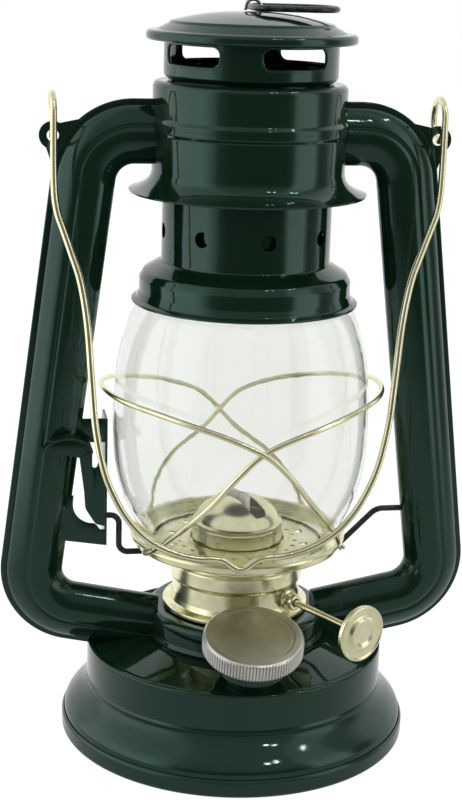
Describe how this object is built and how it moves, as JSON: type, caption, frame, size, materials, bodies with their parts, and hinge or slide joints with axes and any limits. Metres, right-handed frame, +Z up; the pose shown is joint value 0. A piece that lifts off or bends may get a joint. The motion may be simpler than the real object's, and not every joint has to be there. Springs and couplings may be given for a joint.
{
  "type": "hurricane lantern",
  "caption": "Wire-handled lamp-oil lantern: round tank, side air tubes, glass globe with crossed guard wires, lever that lifts globe and hood, screw cap and wick knob.",
  "frame": {"origin": "centre of the foot ring, on the surface that the lantern stands on", "axes": "+Z up; X runs through the two air tubes, with the lifting lever on the -X side; -Y is the front, with the fuel cap"},
  "size_m": [0.1584, 0.1174, 0.2443],
  "materials": {
    "green_enamel": "gloss",
    "brass": "bright",
    "nickel": "bright",
    "clear_glass": "clear",
    "black_wire": "satin",
    "spring_steel": "satin",
    "wick_cotton": "woven",
    "seal_rubber": "matt"
  },
  "bodies": {
    "stand": {"tank_body": "green_enamel", "base_pan": "green_enamel", "air_collar": "green_enamel", "filler_neck": "green_enamel", "burner_body": "brass", "burner_cone": "nickel", "knob_bush": "brass", "wick_holder": "brass", "air_tube_left": "green_enamel", "air_tube_right": "green_enamel", "bail_ear_left": "green_enamel", "bail_ear_right": "green_enamel", "chamber_top": "green_enamel", "chamber_skirt": "green_enamel", "lift_bracket": "green_enamel", "hood_spring": "spring_steel"},
    "globe_carrier": {"globe_plate": "brass", "glass_globe": "clear_glass", "guard_wire_left": "brass", "guard_wire_right": "brass"},
    "lifter": {"crank_wire": "black_wire", "lift_lever": "green_enamel"},
    "hood": {"bell": "green_enamel", "chimney_tube": "green_enamel", "slotted_collar": "green_enamel", "top_cap": "green_enamel", "ring_staple": "nickel"},
    "ring": {"lift_ring": "black_wire"},
    "carrying_bail": {"bail": "brass"},
    "knob": {"wick_shaft": "brass", "wick_knob": "brass", "wick_cog_front": "brass", "wick_cog_back": "brass"},
    "wick_strip": {"wick": "wick_cotton"},
    "cap_seal": {"cap_gasket": "seal_rubber"},
    "cap": {"fuel_cap": "nickel"}
  },
  "joints": [
    {"name": "bail_swing", "type": "hinge", "parent": "stand", "child": "carrying_bail", "pos_m": [0, 0, 0.20718], "axis": [-1, 0, 0], "range_deg": [0, 250]},
    {"name": "globe_lift", "type": "slide", "parent": "stand", "child": "globe_carrier", "axis": [0, 0, 1], "range_m": [0, 0.0098], "deforming": ["hood_spring"]},
    {"name": "lever_turn", "type": "hinge", "parent": "stand", "child": "lifter", "pos_m": [0, 0, 0.0755], "axis": [1, 0, 0], "range_deg": [0, 20.9]},
    {"name": "hood_lift", "type": "slide", "parent": "globe_carrier", "child": "hood", "axis": [0, 0, 1], "range_m": [0, 0.013], "deforming": ["hood_spring"]},
    {"name": "ring_swing", "type": "hinge", "parent": "hood", "child": "ring", "pos_m": [0, 0, 0.2413], "axis": [0, -1, 0], "range_deg": [0, 180]},
    {"name": "knob_turn", "type": "hinge", "parent": "stand", "child": "knob", "pos_m": [0.0039, 0.00225, 0.0501], "axis": [0.5, -0.866, 0], "range_deg": [-130, 130]},
    {"name": "wick_slide", "type": "slide", "parent": "stand", "child": "wick_strip", "axis": [0, 0, 1], "range_m": [-0.0074, 0.0074]},
    {"name": "cap_lift", "type": "slide", "parent": "stand", "child": "cap_seal", "axis": [0, -0.2538, 0.9673], "range_m": [0, 0.0046]},
    {"name": "cap_turn", "type": "hinge", "parent": "cap_seal", "child": "cap", "pos_m": [-0.001, -0.0427, 0.0489], "axis": [0, -0.2538, 0.9673], "range_deg": [0, 1080]}
  ],
  "couplings": [
    {"joint": "lever_turn", "follows": "globe_lift", "rad_per_m": 37.1},
    {"joint": "wick_slide", "follows": "knob_turn", "m_per_rad": -0.0032},
    {"joint": "cap_lift", "follows": "cap_turn", "m_per_rad": 0.00023873}
  ]
}
